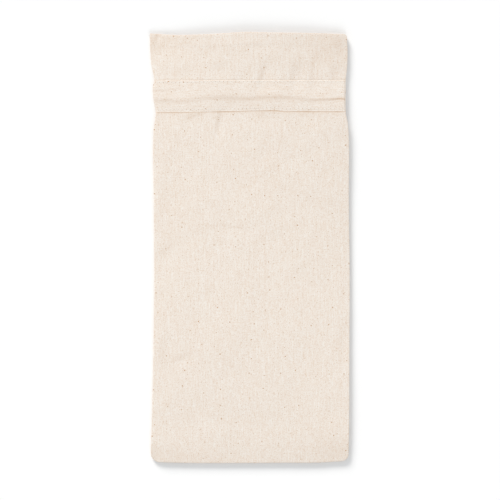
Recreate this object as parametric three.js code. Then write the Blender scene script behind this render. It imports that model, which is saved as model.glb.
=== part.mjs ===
// A cotton bottle bag lying empty and flat on its back: a front panel and a back panel joined by a turned
// seam along both sides and the bottom, a hem round the open mouth, and a casing strip sewn across the front.
import * as THREE from "three";

// Millimetres. X runs across the bag, Y from its bottom seam to its mouth, Z up from the surface below it.
const BAG_LENGTH = 350;
const CLOTH = 1; // one layer of cloth
const TURNED_CLOTH = 1.3; // cloth turned under itself, in the mouth hem and along the casing strip's edges
const SEWN_GAP = 0.3; // between pieces where they are sewn together
const HEM_DEPTH = 10;
const FRONT_EDGE = CLOTH + SEWN_GAP; // height at which the front meets the back along the seam
const FRONT_FOLD = 1.8; // width of the tight fold in which the front turns down to the seam
const SHOULDER = 12; // width of the low shoulder inside that fold
const SHOULDER_SHARE = 0.4; // share of the front's height that the shoulder takes
const SHOULDER_REACH = 30; // the shoulder runs out over this length above the bottom seam
const HEM_TAPER = 6; // the back's hem thins out within this distance of the seam
const EDGE_BAND = 10; // width of the finer bands of the mesh along the seams
const MOUTH_REACH = 35; // how far below the mouth its uneven line still shows
const BOTTOM_REACH = 60; // how far above the bottom seam its bow still shows
const MOUTH_CORNER = { size: 2.2, roundness: 2 }; // the right corner at the mouth
const CROWN_SPAN = 70; // the crown's left and right heights are taken this far from the middle line
const COLOUR = 0xefe4d8;

const BOTTOM = -BAG_LENGTH / 2;
const MOUTH = BAG_LENGTH / 2;
const HEM_LINE = MOUTH - HEM_DEPTH;

// The side seams, each as its distance from the middle line.
const SIDES = [
  { y: -175, left: 80.4, right: 80.0 },
  { y: -137, left: 79.2, right: 80.1 },
  { y: -76, left: 77.9, right: 80.7 },
  { y: -25, left: 77.3, right: 80.9 },
  { y: 40, left: 77.7, right: 80.2 },
  { y: 92, left: 78.1, right: 79.9 },
  { y: 108, left: 76.6, right: 77.9 },
  { y: 118, left: 78.2, right: 77.6 },
  { y: 128, left: 78.7, right: 77.8 },
  { y: 136, left: 78.0, right: 77.8 },
  { y: 145, left: 79.4, right: 78.5 },
  { y: 158, left: 80.4, right: 78.9 },
  { y: 175, left: 80.9, right: 78.6 },
];
// The bottom corners: a roundness of 2 is an arc, and a lower one is flatter, like a cut corner.
const CORNERS = { left: { size: 5.5, roundness: 1.4 }, right: { size: 6.5, roundness: 2 } };

// How far the mouth dips below its highest point, and the bottom seam bows up, across the bag.
const MOUTH_LINE = [
  { x: -80, dip: 1.6 },
  { x: -60, dip: 2.6 },
  { x: -38, dip: 2.0 },
  { x: -18, dip: 0.8 },
  { x: -3, dip: 0 },
  { x: 12, dip: 0.4 },
  { x: 45, dip: 0.9 },
  { x: 79, dip: 2.1 },
];
const BOTTOM_LINE = [
  { x: -75, bow: 0.7 },
  { x: -20, bow: 0 },
  { x: 25, bow: 0.2 },
  { x: 55, bow: 0.8 },
  { x: 74, bow: 1.5 },
];

// Height of the front's outer face at sections along the bag, on the middle line and on either side of it.
const CROWN = [
  { y: -175, left: 3.0, middle: 3.3, right: 2.8 },
  { y: -150, left: 4.3, middle: 5.4, right: 4.1 },
  { y: -90, left: 5.2, middle: 6.9, right: 5.3 },
  { y: 0, left: 5.3, middle: 7.1, right: 5.5 },
  { y: 75, left: 5.4, middle: 7.2, right: 5.6 },
  { y: 98, left: 5.4, middle: 7.2, right: 5.6 },
  { y: 110, left: 5.2, middle: 7.0, right: 5.5 },
  { y: 135, left: 5.0, middle: 7.0, right: 5.4 },
  { y: 152, left: 4.8, middle: 7.3, right: 5.5 },
  { y: 175, left: 4.4, middle: 7.8, right: 6.2 },
];

// Soft troughs where the sewing gathers the front, running up (1) from the casing strip or down (-1) from it.
const GATHERS = [
  { x: -56, way: 1, length: 9, width: 5, depth: 0.3, lean: 0 },
  { x: -31, way: 1, length: 10, width: 4.5, depth: 0.35, lean: 0 },
  { x: 9, way: 1, length: 24, width: 5, depth: 0.7, lean: 0.25 },
  { x: 35, way: 1, length: 13, width: 4.5, depth: 0.4, lean: 0 },
  { x: 49, way: 1, length: 17, width: 5, depth: 0.5, lean: 0.05 },
  { x: 66, way: 1, length: 20, width: 5.5, depth: 0.5, lean: 0.1 },
  { x: -50, way: -1, length: 11, width: 6, depth: 0.5, lean: 0.35 },
  { x: -23, way: -1, length: 15, width: 5, depth: 0.6, lean: -0.25 },
  { x: 13, way: -1, length: 11, width: 5, depth: 0.3, lean: 0 },
  { x: 46, way: -1, length: 13, width: 5.5, depth: 0.35, lean: -0.1 },
];

// The casing strip: its upper edge is straight, and its lower edge, its long crease and the crest above the
// crease wander along it.
const STRIP_TOP = 135.4;
const STRIP_STITCH = 2; // from each long edge to its line of stitching
const STRIP_TURN = 5; // width of the cloth turned under along each long edge
const STRIP_END = 40; // degrees round the rolled edge of the front at which the strip ends
const CREST_STEP = 2.5; // from the crease up to the crest
const STRIP = [
  { x: -80, lower: 108.6, crease: 118.2, crest: 0.6 },
  { x: -50, lower: 108.7, crease: 118.2, crest: 0.5 },
  { x: -28, lower: 110.0, crease: 120.8, crest: 0.5 },
  { x: 5, lower: 110.3, crease: 121.2, crest: 0.6 },
  { x: 36, lower: 109.5, crease: 120.7, crest: 0.6 },
  { x: 57, lower: 109.3, crease: 119.2, crest: 0.8 },
  { x: 80, lower: 109.6, crease: 120.1, crest: 1.1 },
];
// Share of the crest's height that the loose cloth keeps at each place across the strip.
const LOOSE = { belowCrease: 0.25, crease: 0.5, aboveCrest: 0.9 };

// Mesh lines: steps round a rolled edge, columns between the rolled edges, and rows up the bag.
const ROLL_STEPS = 6;
const FRONT_COLUMNS = 30;
const BACK_COLUMNS = 4;
const BODY_ROWS = { from: BOTTOM + EDGE_BAND, to: 85, count: 12 };
const SEWN_ROWS = { from: 92, to: 160, count: 17 };
const HEM_STEP = 0.4; // the hem's inner edge steps down over this length
const MOUTH_ROWS = [HEM_LINE - HEM_STEP, HEM_LINE, 170, 173.4, 174.5, MOUTH];
const STRIP_SUBROWS = 2;

function curveThrough(table, key, column) {
  const places = table.map((row) => row[key]);
  const values = table.map((row) => row[column]);
  const curve = new THREE.CubicInterpolant(places, values, 1);
  return (place) => curve.evaluate(place)[0];
}

const leftSeam = curveThrough(SIDES, "y", "left");
const rightSeam = curveThrough(SIDES, "y", "right");
const mouthDip = curveThrough(MOUTH_LINE, "x", "dip");
const bottomBow = curveThrough(BOTTOM_LINE, "x", "bow");
const crownLeft = curveThrough(CROWN, "y", "left");
const crownMiddle = curveThrough(CROWN, "y", "middle");
const crownRight = curveThrough(CROWN, "y", "right");
const stripLower = curveThrough(STRIP, "x", "lower");
const stripCrease = curveThrough(STRIP, "x", "crease");
const stripCrest = curveThrough(STRIP, "x", "crest");

function gatherDepth(x, y) {
  let depth = 0;
  for (const gather of GATHERS) {
    const start = gather.way > 0 ? STRIP_TOP : stripLower(gather.x);
    const along = (y - start) * gather.way;
    const across = (x - gather.x - gather.lean * along) / gather.width;
    const rising = THREE.MathUtils.smoothstep(along, 0, STRIP_STITCH);
    const fading = 1 - THREE.MathUtils.smoothstep(along, STRIP_STITCH, gather.length);
    depth += gather.depth * rising * fading * Math.exp(-across * across);
  }
  return depth;
}

// Height of the front's outer face away from its rolled edges.
function frontHeight(x, y) {
  const left = crownLeft(y);
  const middle = crownMiddle(y);
  const right = crownRight(y);
  const side = x / CROWN_SPAN;
  const crown = middle + (side * (right - left)) / 2 + side * side * ((left + right) / 2 - middle);
  return crown - gatherDepth(x, y);
}

// How far a row's end moves in at a rounded corner, at a distance from the edge that the corner ends on.
function cornerInset(distance, size, roundness) {
  if (distance >= size) {
    return 0;
  }
  const rest = size ** roundness - (size - distance) ** roundness;
  return size - rest ** (1 / roundness);
}

// Distance in from the seam, for a point at these distances from the side and from the bottom.
function seamDistance(fromSide, fromBottom, size, roundness) {
  const nearest = Math.min(fromSide, fromBottom);
  if (nearest >= size) {
    return nearest;
  }
  const sideGap = Math.max(size - fromSide, 0);
  const bottomGap = Math.max(size - fromBottom, 0);
  return size - (sideGap ** roundness + bottomGap ** roundness) ** (1 / roundness);
}

// Share of its height that a quarter-round edge has reached at a distance in from where it starts.
function quarterRound(distance, width) {
  const rest = THREE.MathUtils.clamp(1 - distance / width, 0, 1);
  return Math.sqrt(1 - rest * rest);
}

// Share of its height that the front has reached at a distance in from the seam.
function rollShare(distance, y, inset) {
  const shoulderShare = SHOULDER_SHARE * THREE.MathUtils.smoothstep(y, BOTTOM, BOTTOM + SHOULDER_REACH);
  const fold = quarterRound(distance, FRONT_FOLD - inset);
  const shoulder = quarterRound(distance, SHOULDER - inset);
  return THREE.MathUtils.lerp(fold, shoulder, shoulderShare);
}

// Columns across the bag: fine steps round each rolled edge, even ones between them.
function makeColumns(middleCount, firstAngle = 0) {
  const columns = [];
  for (let step = 0; step <= ROLL_STEPS; step += 1) {
    const angle = firstAngle + ((90 - firstAngle) * step) / ROLL_STEPS;
    columns.push({ band: "left", share: 1 - Math.cos(THREE.MathUtils.degToRad(angle)) });
  }
  for (let step = 1; step < middleCount; step += 1) {
    columns.push({ band: "middle", share: step / middleCount });
  }
  for (let step = ROLL_STEPS; step >= 0; step -= 1) {
    columns.push({ band: "right", share: columns[step].share });
  }
  return columns;
}

// Place of a column at y, on a face that lies this far inside the outer face, or outside it if negative.
function columnPlace(column, y, inset, corners = { left: 0, right: 0 }) {
  const leftEnd = -leftSeam(y) + inset + corners.left;
  const rightEnd = rightSeam(y) - inset - corners.right;
  const leftInner = -leftSeam(y) + EDGE_BAND;
  const rightInner = rightSeam(y) - EDGE_BAND;
  if (column.band === "left") {
    return THREE.MathUtils.lerp(leftEnd, leftInner, column.share);
  }
  if (column.band === "right") {
    return THREE.MathUtils.lerp(rightEnd, rightInner, column.share);
  }
  return THREE.MathUtils.lerp(leftInner, rightInner, column.share);
}

// Rows up the bag: fine steps round the bottom edge, then even rows, closer ones by the casing, and the hem.
function makeRows() {
  const rows = [];
  for (let step = 0; step < ROLL_STEPS; step += 1) {
    rows.push(BOTTOM + EDGE_BAND * (1 - Math.cos((Math.PI * step) / (2 * ROLL_STEPS))));
  }
  for (const { from, to, count } of [BODY_ROWS, SEWN_ROWS]) {
    for (let step = 0; step <= count; step += 1) {
      rows.push(THREE.MathUtils.lerp(from, to, step / count));
    }
  }
  return rows.concat(MOUTH_ROWS);
}

// Place of a row on a face that lies this far inside the outer face. Only rows round the bottom edge move.
function rowPlace(row, inset) {
  const share = Math.min((row - BOTTOM) / EDGE_BAND, 1);
  return row + inset * (1 - share);
}

// Cloth is one layer thick, and thicker where the mouth hem is turned in.
function hemmedCloth(row) {
  return row >= HEM_LINE ? TURNED_CLOTH : CLOTH;
}

// A point of a panel's face in plan, and its distance in from the seam.
function panelPoint(column, row, inset) {
  const flatY = rowPlace(row, inset);
  const fromBottom = flatY - BOTTOM - inset;
  const { left, right } = CORNERS;
  const mouthCorner = cornerInset(MOUTH - row, MOUTH_CORNER.size, MOUTH_CORNER.roundness);
  const corners = {
    left: cornerInset(fromBottom, left.size - inset, left.roundness),
    right: cornerInset(fromBottom, right.size - inset, right.roundness) + mouthCorner,
  };
  const x = columnPlace(column, flatY, inset, corners);
  const fromLeft = x + leftSeam(flatY) - inset;
  const fromRight = rightSeam(flatY) - inset - x;
  const fromSide = Math.min(fromLeft, fromRight);
  const nearer = fromLeft < fromRight ? left : right;
  const distance = seamDistance(fromSide, fromBottom, nearer.size - inset, nearer.roundness);
  const mouthShare = THREE.MathUtils.smoothstep(row, MOUTH - MOUTH_REACH, MOUTH);
  const bottomShare = 1 - THREE.MathUtils.smoothstep(row, BOTTOM, BOTTOM + BOTTOM_REACH);
  return { x, y: flatY - mouthDip(x) * mouthShare + bottomBow(x) * bottomShare, distance };
}

function frontPoint(column, row, inset) {
  const { x, y, distance } = panelPoint(column, row, inset);
  const share = rollShare(distance, y, inset);
  return new THREE.Vector3(x, y, FRONT_EDGE + share * (frontHeight(x, y) - FRONT_EDGE - inset));
}

function backUnderside(column, row) {
  const { x, y } = panelPoint(column, row, 0);
  return new THREE.Vector3(x, y, 0);
}

// The back's hem thins out beside the seam, where the front's edge lies over it.
function backInside(column, row) {
  const { x, y, distance } = panelPoint(column, row, 0);
  const turned = hemmedCloth(row) - CLOTH;
  const share = THREE.MathUtils.smoothstep(distance, TURNED_CLOTH, HEM_TAPER);
  return new THREE.Vector3(x, y, CLOTH + turned * share);
}

// A closed sheet between an upper and a lower grid of points, each a list of rows.
function closedSheet(name, upper, lower) {
  const rows = upper.length;
  const columns = upper[0].length;
  const points = [...upper.flat(), ...lower.flat()];
  const faces = [];
  const top = (row, column) => row * columns + column;
  const under = (row, column) => rows * columns + top(row, column);
  const addQuad = (a, b, c, d) => faces.push(a, b, c, a, c, d);
  for (let row = 0; row < rows - 1; row += 1) {
    for (let column = 0; column < columns - 1; column += 1) {
      addQuad(top(row, column), top(row, column + 1), top(row + 1, column + 1), top(row + 1, column));
      addQuad(under(row, column), under(row + 1, column), under(row + 1, column + 1), under(row, column + 1));
    }
  }
  for (let column = 0; column < columns - 1; column += 1) {
    const last = rows - 1;
    addQuad(under(0, column), under(0, column + 1), top(0, column + 1), top(0, column));
    addQuad(under(last, column + 1), under(last, column), top(last, column), top(last, column + 1));
  }
  for (let row = 0; row < rows - 1; row += 1) {
    const last = columns - 1;
    addQuad(under(row + 1, 0), under(row, 0), top(row, 0), top(row + 1, 0));
    addQuad(under(row, last), under(row + 1, last), top(row + 1, last), top(row, last));
  }
  const geometry = new THREE.BufferGeometry().setFromPoints(points);
  geometry.setIndex(faces);
  geometry.computeVertexNormals();
  const material = new THREE.MeshStandardMaterial({ color: COLOUR, roughness: 0.9, metalness: 0 });
  const mesh = new THREE.Mesh(geometry, material);
  mesh.name = name;
  return mesh;
}

function makeFrontPanel() {
  const columns = makeColumns(FRONT_COLUMNS);
  const outer = makeRows().map((row) => columns.map((column) => frontPoint(column, row, 0)));
  const inner = makeRows().map((row) => columns.map((column) => frontPoint(column, row, hemmedCloth(row))));
  return closedSheet("front_panel", outer, inner);
}

function makeBackPanel() {
  const columns = makeColumns(BACK_COLUMNS);
  const inside = makeRows().map((row) => columns.map((column) => backInside(column, row)));
  const underside = makeRows().map((row) => columns.map((column) => backUnderside(column, row)));
  return closedSheet("back_panel", inside, underside);
}

// Places across the casing strip that shape it, from its lower to its upper edge, and its looseness at each.
function stripSections(x) {
  const crest = stripCrest(x);
  const lowStitch = stripLower(x) + STRIP_STITCH;
  const highStitch = STRIP_TOP - STRIP_STITCH;
  const crease = stripCrease(x);
  const crestLine = crease + CREST_STEP;
  return [
    { y: stripLower(x), lift: 0 },
    { y: lowStitch, lift: 0 },
    { y: (lowStitch + crease) / 2, lift: LOOSE.belowCrease * crest },
    { y: crease, lift: LOOSE.crease * crest },
    { y: crestLine, lift: crest },
    { y: (crestLine + highStitch) / 2, lift: LOOSE.aboveCrest * crest },
    { y: highStitch, lift: 0 },
    { y: STRIP_TOP, lift: 0 },
  ];
}

// Rows of the strip at one column: each section, and even places between them.
function stripRows(x) {
  const sections = stripSections(x);
  const lift = curveThrough(sections, "y", "lift");
  const rows = [];
  for (let index = 0; index < sections.length - 1; index += 1) {
    for (let step = 0; step < STRIP_SUBROWS; step += 1) {
      rows.push(THREE.MathUtils.lerp(sections[index].y, sections[index + 1].y, step / STRIP_SUBROWS));
    }
  }
  rows.push(STRIP_TOP);
  return rows.map((y) => {
    const fromEdge = Math.min(y - sections[0].y, STRIP_TOP - y);
    return { y, lift: Math.max(lift(y), 0), cloth: fromEdge < STRIP_TURN ? TURNED_CLOTH : CLOTH };
  });
}

// A point lying this far out from the front's outer face.
function overFront(column, y, outset) {
  const x = columnPlace(column, y, -outset);
  const distance = Math.min(x + leftSeam(y), rightSeam(y) - x) + outset;
  const share = rollShare(distance, y, -outset);
  return new THREE.Vector3(x, y, FRONT_EDGE + share * (frontHeight(x, y) - FRONT_EDGE + outset));
}

function makeCasingStrip() {
  const columns = makeColumns(FRONT_COLUMNS, STRIP_END);
  const rowsByColumn = columns.map((column) => stripRows(columnPlace(column, STRIP_TOP, 0)));
  const rowCount = rowsByColumn[0].length;
  const upper = [];
  const lower = [];
  for (let row = 0; row < rowCount; row += 1) {
    const places = columns.map((column, index) => ({ column, ...rowsByColumn[index][row] }));
    upper.push(places.map(({ column, y, lift, cloth }) => overFront(column, y, SEWN_GAP + lift + cloth)));
    lower.push(places.map(({ column, y, lift }) => overFront(column, y, SEWN_GAP + lift)));
  }
  return closedSheet("casing_strip", upper, lower);
}

const bag = new THREE.Group();
bag.add(makeBackPanel(), makeFrontPanel(), makeCasingStrip());

export default bag;
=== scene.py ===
"""Cotton bottle bag lying empty on a studio floor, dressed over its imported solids."""

import math
from collections import namedtuple

import bpy
import numpy as np
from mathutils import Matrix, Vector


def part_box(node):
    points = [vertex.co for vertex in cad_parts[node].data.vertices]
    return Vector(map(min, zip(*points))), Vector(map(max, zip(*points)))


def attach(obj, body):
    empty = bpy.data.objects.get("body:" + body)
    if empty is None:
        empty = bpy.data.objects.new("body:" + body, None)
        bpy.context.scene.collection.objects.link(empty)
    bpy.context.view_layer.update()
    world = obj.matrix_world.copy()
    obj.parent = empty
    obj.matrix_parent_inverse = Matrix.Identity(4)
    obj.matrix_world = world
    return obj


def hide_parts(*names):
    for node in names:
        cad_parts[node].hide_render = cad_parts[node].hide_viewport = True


bl_info = {
    "name": "Bottle bag",
    "version": (1, 0, 0),
    "blender": (4, 5, 0),
    "location": "View3D > Sidebar > Bottle bag",
    "description": "Lays an empty cotton bottle bag on a plain studio floor",
    "category": "Add Mesh",
}

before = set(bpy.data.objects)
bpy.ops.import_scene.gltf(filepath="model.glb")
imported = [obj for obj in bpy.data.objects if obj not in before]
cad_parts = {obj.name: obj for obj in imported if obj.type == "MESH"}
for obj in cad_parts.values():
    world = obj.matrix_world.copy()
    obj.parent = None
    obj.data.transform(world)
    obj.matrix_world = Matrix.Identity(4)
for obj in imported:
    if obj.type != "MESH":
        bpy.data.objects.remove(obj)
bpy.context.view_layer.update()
MM = 0.001

# Sizes below are in millimetres: X across the bag, Y from its bottom seam to its mouth, Z up.
front_low, front_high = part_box("front_panel")
_, strip_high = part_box("casing_strip")
BAG_LENGTH = round((front_high[1] - front_low[1]) / MM)
STRIP_TOP = round(strip_high[1] / MM)
MOUTH = BAG_LENGTH / 2
BOTTOM = -BAG_LENGTH / 2

# The front's edge stands at this share of its height. From there it rises over a tight fold, and over a
# low shoulder that runs out towards the bottom seam.
EDGE_SHARE = 0.92
FRONT_ROLL = 0.7
SHOULDER = 12
SHOULDER_SHARE = 0.4
SHOULDER_REACH = 30

# Width of the fine mesh columns along each side, how far the lines of the mouth and of the bottom seam
# draw the cloth with them, and where the crown's heights on either side are given.
EDGE_BAND = 10
MOUTH_REACH = 35
BOTTOM_REACH = 60
CROWN_SPAN = 70

# Sewn layers lie this far apart, and the front is tucked in below its edge.
SEWN_GAP = 0.04
SEAM_TUCK = 0.7

# The cloth is thinner than its solid and lies inside the solid's face, but not at the bottom seam.
SOLID_INSET = 0.9
INSET_REACH = 40

# The seam's turning runs out below the hem, to this width.
HEM_RUN_OUT = 12
LEAST_FLAP = 0.3

# Rounded corners: the mouth's right one and the bottom's two.
Corner = namedtuple("Corner", "size roundness")
MOUTH_CORNER = Corner(2.2, 2)
LEFT_CORNER = Corner(7, 1.75)
RIGHT_CORNER = Corner(6, 2)

# The side seams, each as its distance from the middle line.
Side = namedtuple("Side", "y left right")
SIDES = [
    Side(-175, 80.4, 80),
    Side(-137, 79.2, 80.5),
    Side(-76, 77.9, 80.7),
    Side(-25, 77.3, 80.9),
    Side(40, 77.7, 80.2),
    Side(92, 78, 80.1),
    Side(100, 77.1, 79.4),
    Side(108, 76.1, 77.8),
    Side(118, 77.7, 77.6),
    Side(128, 78.6, 77.8),
    Side(136, 77.5, 77.8),
    Side(145, 79.2, 78.8),
    Side(158, 80.4, 79.2),
    Side(175, 80.9, 78.6),
]

# How far the mouth dips below its highest point, and the bottom seam bows up, across the bag.
EdgePoint = namedtuple("EdgePoint", "x shift")
MOUTH_LINE = [
    EdgePoint(-80, 2.2), EdgePoint(-60, 3.4), EdgePoint(-38, 3), EdgePoint(-18, 1.9),
    EdgePoint(-3, 1), EdgePoint(12, 1.4), EdgePoint(45, 1.9), EdgePoint(79, 2.8),
]
BOTTOM_LINE = [
    EdgePoint(-75, 0.8), EdgePoint(-50, 0.1), EdgePoint(-20, 0),
    EdgePoint(25, 0.2), EdgePoint(55, 0.4), EdgePoint(74, 1.5),
]

# Height of the front's outer face along the bag, on the middle line and on either side of it.
Crown = namedtuple("Crown", "y left middle right")
CROWN = [
    Crown(-175, 3, 2.9, 3),
    Crown(-150, 4.3, 4.7, 5.2),
    Crown(-90, 5.1, 6.4, 5.6),
    Crown(0, 5.2, 6.6, 5),
    Crown(75, 5.3, 6.7, 5.9),
    Crown(98, 5.3, 6.8, 6.2),
    Crown(110, 5.2, 6.8, 6.2),
    Crown(135, 4.7, 6.9, 5.6),
    Crown(152, 4.4, 7.2, 5.5),
    Crown(175, 3.6, 7.5, 6.2),
]

# Soft troughs, and ridges where the depth is negative. The turn is from up the bag towards its right
# side, and a trough's right or lower wall is this many times as wide as its other wall.
Crease = namedtuple("Crease", "x y turn length width depth far_wall")
CREASES = [
    # gathers above the casing strip
    Crease(-56, 138, 0, 16, 4, 0.15, 2),
    Crease(-25.7, 142, 0, 18, 3, 0.2, 3),
    Crease(11, 138, 17, 42, 2.6, 0.4, 3),
    Crease(36.7, 138, 4, 36, 2.6, 0.34, 2),
    Crease(41, 139, 0, 24, 2, 0.25, 3),
    Crease(51.8, 138, 3, 38, 2.4, 0.27, 3),
    Crease(69, 137, 4, 24, 3, 0.34, 3),
    # gathers below it
    Crease(-46, 104.5, 72, 30, 1.8, 0.18, 3),
    Crease(-24.5, 100.5, 10, 30, 1.8, 0.38, 3),
    Crease(13, 103, 0, 18, 5, 0.25, 2),
    Crease(46, 103, -6, 20, 5.5, 0.25, 2),
    # the hem's step, slack towards the mouth and its left corner standing up
    Crease(-22, 162, 90, 100, 1.2, 0.025, 4),
    Crease(36, 162.6, 90, 88, 1.4, 0.022, 4),
    Crease(-26, 163, 90, 84, 7, -0.13, 0.7),
    Crease(4, 162.4, 92, 18, 1.8, 0.12, 3),
    Crease(75, 158, 0, 48, 7, 0.14, 2),
    Crease(72, 160, 0, 16, 3, 0.08, 2),
    Crease(-81, 176, 45, 42, 13, -1.1, 1),
    Crease(-74, 171, 20, 12, 1.4, 0.25, 2),
    Crease(-46, 176, 90, 60, 8, -0.3, 1),
    # rumples of the body
    Crease(-34.6, 54.8, 31, 20, 3, 0.12, 2),
    Crease(-15, 15.3, 97, 46, 1.5, 0.16, 4),
    Crease(48.8, 76.7, 0, 10, 2.5, 0.12, 2),
    Crease(35, 71, 0, 14, 5, 0.1, 2),
    Crease(-58, 83, 0, 12, 4, 0.1, 2),
    Crease(12.4, 83, 0, 50, 4, 0.1, 2),
    Crease(-54, -91, 62, 22, 2.6, 0.2, 2),
    Crease(-62, -5, 0, 40, 8, 0.2, 1),
    Crease(-70, -8, 60, 30, 5, 0.22, 2),
    # slack above the bottom seam, and its left corner lying low
    Crease(74, -176, 90, 60, 14, 0.15, 1),
    Crease(-52, -177, 90, 90, 11, 0.12, 1),
    Crease(-80, -174, -28, 44, 6, 1.1, 1),
    # puffs and slack along the side seams
    Crease(-74, 42, 0, 50, 4, -0.25, 1),
    Crease(-74, -33, 0, 16, 4, -0.2, 1),
    Crease(-74, -82, 0, 40, 4, -0.25, 1),
    Crease(76, -83, 0, 50, 4, 0.25, 1),
]

# The casing strip: its upper edge is straight, and its upper stitching, its lower edge and its long
# crease wander along it. The cloth drops at the crease from the crest above it, over twice the half
# width. The last two columns are the share of painted warm shade in the crease and along the lower edge.
Strip = namedtuple("Strip", "x stitch lower crease half_width crest crease_tint edge_tint")
STRIP = [
    Strip(-78, 133, 109, 118.6, 1.4, 0.15, 0.15, 0.3),
    Strip(-65, 133, 109, 118.2, 1.8, 0.15, 0.14, 0.6),
    Strip(-52, 133.1, 109.05, 118, 2.1, 0.12, 0.13, 0.6),
    Strip(-40, 133.6, 109.25, 119.8, 2.2, 0.12, 0.13, 0.4),
    Strip(-28, 133.8, 109.6, 120.7, 2.1, 0.17, 0.18, 0.55),
    Strip(-18, 133.8, 109.7, 120.5, 2.2, 0.18, 0.2, 0.85),
    Strip(-8, 133.8, 109.8, 120.2, 2.2, 0.19, 0.18, 0.6),
    Strip(0, 133.8, 110.1, 119.8, 2.2, 0.2, 0.2, 0.4),
    Strip(7, 133.8, 110.3, 120.8, 2, 0.21, 0.23, 0.5),
    Strip(20, 133.8, 110.5, 120.9, 2, 0.2, 0.22, 0.75),
    Strip(29, 133.8, 109.7, 121, 2, 0.19, 0.22, 0.55),
    Strip(37, 133.8, 109.8, 120.4, 2, 0.17, 0.16, 0.65),
    Strip(47, 133.8, 109.8, 118.8, 1.6, 0.16, 0.2, 0.75),
    Strip(57, 133.8, 109.7, 119, 1.2, 0.18, 0.26, 0.5),
    Strip(65, 133.8, 109.7, 119.3, 1, 0.19, 0.36, 0.65),
    Strip(70, 133.8, 109.7, 119.7, 0.8, 0.2, 0.55, 0.75),
    Strip(74, 133.8, 109.8, 120, 0.75, 0.18, 0.7, 0.6),
    Strip(78, 133.8, 109.9, 119, 0.75, 0.18, 0.65, 0.35),
]

# The strip's loose cloth sags below its crease, and stands up at its lower rim and in its body, rising
# within this distance of its edges.
STRIP_SAG = 0.02
STRIP_RIM = 0.03
STRIP_BODY = 0.05
STRIP_EDGE = 1
STRIP_CREASES = [
    Crease(-79, 125.6, 87, 70, 1.1, 0.11, 4),
    Crease(16, 129, 80, 30, 1.5, 0.06, 1),
]

# From the strip's lower edge to its lower stitching, and the width of the groove along its stitching.
LOWER_STITCH = 2
GROOVE_WIDTH = 1

# The strip ends at this angle round the front's rolled edge, and lies flatter towards its ends.
STRIP_END = 23
STRIP_END_ROUND = 0.9
STRIP_END_SHARE = 0.3

# The dip in the front along the strip's upper edge, shallower at the left.
FURROW_DEPTH = 0.12
FURROW_WIDTH = 0.6
LEAST_LOOSE = 0.35
LOOSE_SPAN = (-60, -30)

# The front is pressed down under the strip, most along the strip's lower edge.
BED_DEPTH = 0.12
BED_WALL = 0.35
BED_REACH = 12

# Warm shade painted into the cloth's colour, as a share of the painted shade colour: in a line along the
# strip's lower edge with a soft tail below it, along its upper edge, in its crease, over slack cloth, and
# on the walls of creases that face away from the key light.
PAINTED_FOLD_SHADE = "fold_tint"
EDGE_PAINTED_SHADE_REACH = 0.5
UPPER_PAINTED_SHADE = 0.18
UPPER_PAINTED_SHADE_REACH = 0.4
TAIL_PAINTED_SHADE = 0.08
TAIL_REACH = 2.5
Slack = namedtuple("Slack", "x y reach_x reach_y tint")
SLACKS = [
    Slack(68, 162, 24, 15, 0.105),
    Slack(-68, 168, 20, 9, 0.05),
    Slack(-50, -178, 60, 13, 0.055),
    Slack(68, -165, 24, 20, 0.05),
]
PAINTED_SHADE_PER_SLOPE = 1.8
TOWARDS_KEY = (-0.41, 0.91)
SLOPE_STEP = 0.3

# Fine unevenness of the cloth: low waves in many directions, of about this length and height.
Ripple = namedtuple("Ripple", "wavelength height seed")
RIPPLES = [Ripple(42, 0.05, 3), Ripple(17, 0.02, 8)]
RIPPLE_WAVES = 14
RIPPLE_SPREAD = (0.7, 1.4)

# Stitches slant and stray a little. A needle hole is a disc of painted shade on the cloth, and its
# radius is a share of the gap between two stitches.
STITCH_SLANT = 0.06
STITCH_STRAY = 0.04
STITCH_SEEDS = {"casing": (21, 22), "front_hem": (23,), "back_hem": (24,)}
HOLE_SIZES = (0.42, 0.6)
HOLE_LIFT = 0.03
HOLE_DEPTH = 0.02

# Uneven yarns: the size of a patch across and along the warp, and its weight in the cloth's shade and
# relief. Each crossing of two yarns also has a shade and a height of its own.
Streaks = namedtuple("Streaks", "across along detail shade relief")
WARP = Streaks(0.7, 8, 2, 0.52, 0.6)
SLUBS = Streaks(0.8, 30, 2, 0.26, 0)
WEFT = Streaks(8, 0.9, 1, 0.12, 0.3)
MOTTLE = Streaks(7, 12, 2, 0.05, 0)
CROSSING_SHADE = 0.46
SHADE_SHIFT = 0.196
WEAVE_RELIEF = 0.3
CROSSING_RELIEF = 0.4
WEAVE_POWER = 0.5

# Seed flecks: the size of a cell, a fleck's radius in cells, the share of cells that hold one, and how
# strongly it shows. Their radius varies, and their edges are soft.
Flecks = namedtuple("Flecks", "cell radius kept strength")
FINE_FLECKS = Flecks(3.2, 0.075, 0.62, 0.5)
LARGE_FLECKS = Flecks(13, 0.028, 0.6, 0.92)
LEAST_FLECK = 0.6
FLECK_SPREAD = 0.8
FLECK_EDGE = 0.4
FLECK_CUT = 0.02

# The turn of each cloth's warp from up the bag, and the place in the pattern that it is cut from.
Cut = namedtuple("Cut", "turn shift")
BACK_CUT = Cut(0, (0.31, 0.17, 0.05))
FRONT_CUT = Cut(0, (0.03, 0.07, 0.11))
STRIP_CUT = Cut(90, (0.57, 0.23, 0.02))
CLOTH_ROUGHNESS = 0.86
ROUGHNESS_SPREAD = 0.12
CLOTH_FINISH = {"Specular IOR Level": 0.2, "Sheen Weight": 0.08, "Sheen Roughness": 0.6}

# The fine grain of the sewing: its size, its turn and the strength of its relief, and the surface's
# roughness with its spread.
Grain = namedtuple("Grain", "cell turn strength roughness spread specular")
THREAD_GRAIN = Grain(0.25, 30, 0.4, 0.75, 0.1, 0.3)
HOLE_GRAIN = Grain(0.3, 0, 0.2, 0.95, 0.05, 0.1)
GRAIN_DEPTH = 0.05

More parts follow.
